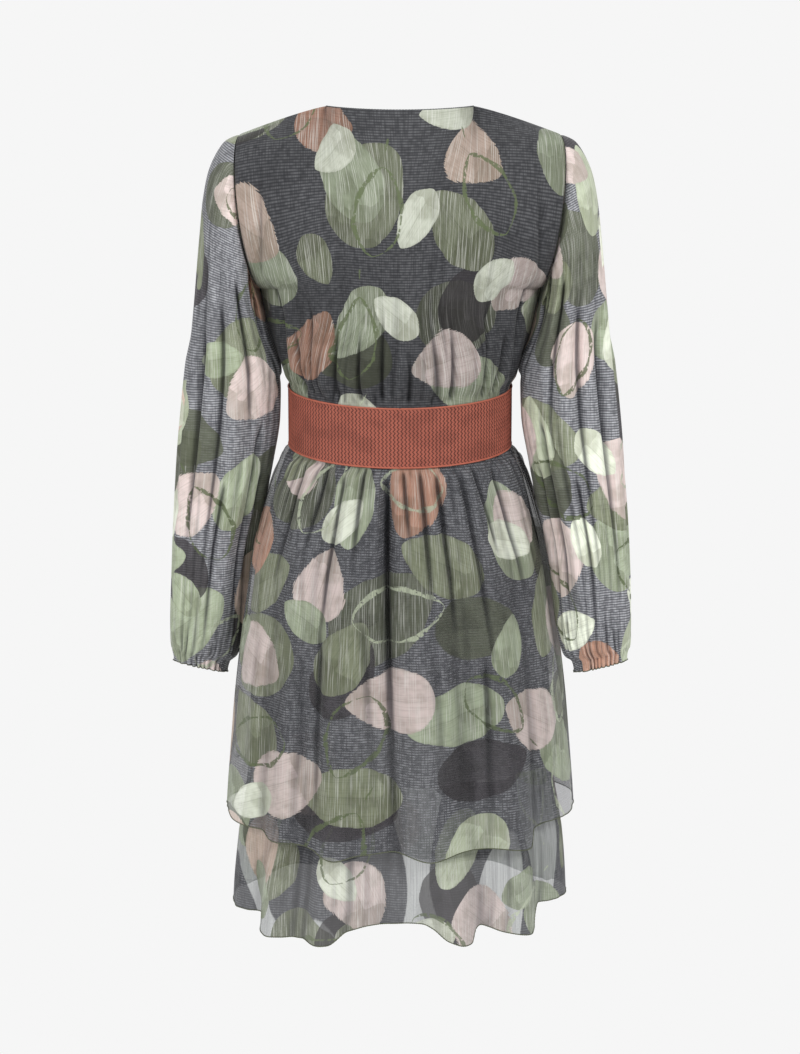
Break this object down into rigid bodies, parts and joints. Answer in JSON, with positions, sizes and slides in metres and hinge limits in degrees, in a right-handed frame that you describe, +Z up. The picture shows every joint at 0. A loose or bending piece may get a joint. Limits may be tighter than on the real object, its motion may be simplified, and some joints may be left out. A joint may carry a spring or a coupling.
{
  "type": "wrap dress",
  "caption": "Worn wrap dress with long loose sleeves, narrow elastic cuffs, a wide ribbed elastic belt and a tulip skirt over a gathered flounce.",
  "frame": {"origin": "midway between the two points where the shoulder seams meet the neckline", "axes": "+Z up out of the neckline, -Y the way the wearer faces, +X the wearer's left"},
  "size_m": [0.5263, 0.2997, 0.9167],
  "materials": {
    "print_cloth": "matte thin printed weave, slightly sheer",
    "sheer_cloth": "matte thin sheer weave",
    "elastic": "ribbed rust elastic with a soft sheen"
  },
  "bodies": {
    "root": {"bodice_back": "print_cloth", "bodice_front_left": "print_cloth", "bodice_front_right": "print_cloth", "sleeve_left": "print_cloth", "sleeve_right": "print_cloth", "cuff_left": "print_cloth", "cuff_right": "print_cloth", "overlay_back": "print_cloth", "overlay_front_left": "print_cloth", "overlay_front_right": "print_cloth", "underskirt_back": "print_cloth", "underskirt_front": "print_cloth", "flounce_back": "sheer_cloth", "flounce_front": "sheer_cloth", "belt": "elastic"}
  },
  "joints": []
}
